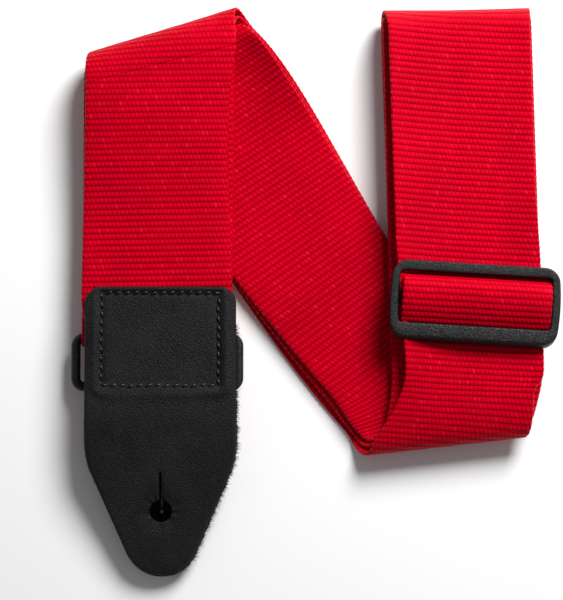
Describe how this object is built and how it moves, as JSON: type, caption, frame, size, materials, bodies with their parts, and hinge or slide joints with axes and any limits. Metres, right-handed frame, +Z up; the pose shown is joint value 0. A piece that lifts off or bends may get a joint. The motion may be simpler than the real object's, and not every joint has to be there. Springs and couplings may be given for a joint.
{
  "type": "guitar strap",
  "caption": "Adjustable woven guitar strap folded flat, with leather ends, button holes, a three-bar slider and a strap ring.",
  "frame": {"origin": "on the table, under the middle of the folded strap", "axes": "+Z up from the table, +Y from the leather ends towards the top loop, +X towards the right leg with the slider"},
  "size_m": [0.1652, 0.194, 0.0204],
  "materials": {
    "webbing": "ribbed woven polypropylene with a low sheen",
    "leather": "matte fine-grained black leather with suede edges",
    "plastic": "moulded black plastic, fine texture",
    "thread": "waxed black sewing thread"
  },
  "bodies": {
    "webbing": {"left_front_ply": "webbing", "left_middle_ply": "webbing", "left_back_ply": "webbing", "ring_turn_ply": "webbing", "top_fold_outer_ply": "webbing", "top_fold_middle_ply": "webbing", "top_fold_inner_ply": "webbing", "diagonal_upper_ply": "webbing", "diagonal_middle_ply": "webbing", "diagonal_lower_ply": "webbing", "bottom_fold_outer_ply": "webbing", "bottom_fold_middle_ply": "webbing", "bottom_fold_inner_ply": "webbing", "right_front_ply": "webbing", "right_middle_ply": "webbing", "right_back_ply": "webbing", "right_return_ply": "webbing", "top_loop_outer_ply": "webbing", "top_loop_inner_ply": "webbing"},
    "slider": {"tri_glide_slider": "plastic", "webbing_end_loop": "webbing", "webbing_over_bar": "webbing"},
    "upper_end": {"upper_leather_end": "leather", "upper_box_stitch": "thread", "webbing_sewn_end": "webbing"},
    "ring": {"strap_ring": "plastic"},
    "lower_end": {"lower_leather_end": "leather", "lower_box_stitch": "thread", "short_ring_webbing": "webbing"}
  },
  "joints": [
    {"name": "slider_slide", "type": "slide", "parent": "webbing", "child": "slider", "axis": [-0.0247, 0.9997, 0], "range_m": [-0.02, 0.06], "deforming": ["right_return_ply"]},
    {"name": "upper_end_lift", "type": "hinge", "parent": "webbing", "child": "upper_end", "pos_m": [-0.05216, 0.00043, 0.0118], "axis": [-1, 0, 0], "range_deg": [0, 60]},
    {"name": "ring_pivot", "type": "hinge", "parent": "webbing", "child": "ring", "pos_m": [-0.05336, -0.01632, 0.00645], "axis": [1, 0, 0], "range_deg": [0, 15]},
    {"name": "lower_end_pivot", "type": "hinge", "parent": "ring", "child": "lower_end", "pos_m": [-0.05336, -0.03282, 0.00645], "axis": [1, 0, 0], "range_deg": [0, 25]}
  ]
}
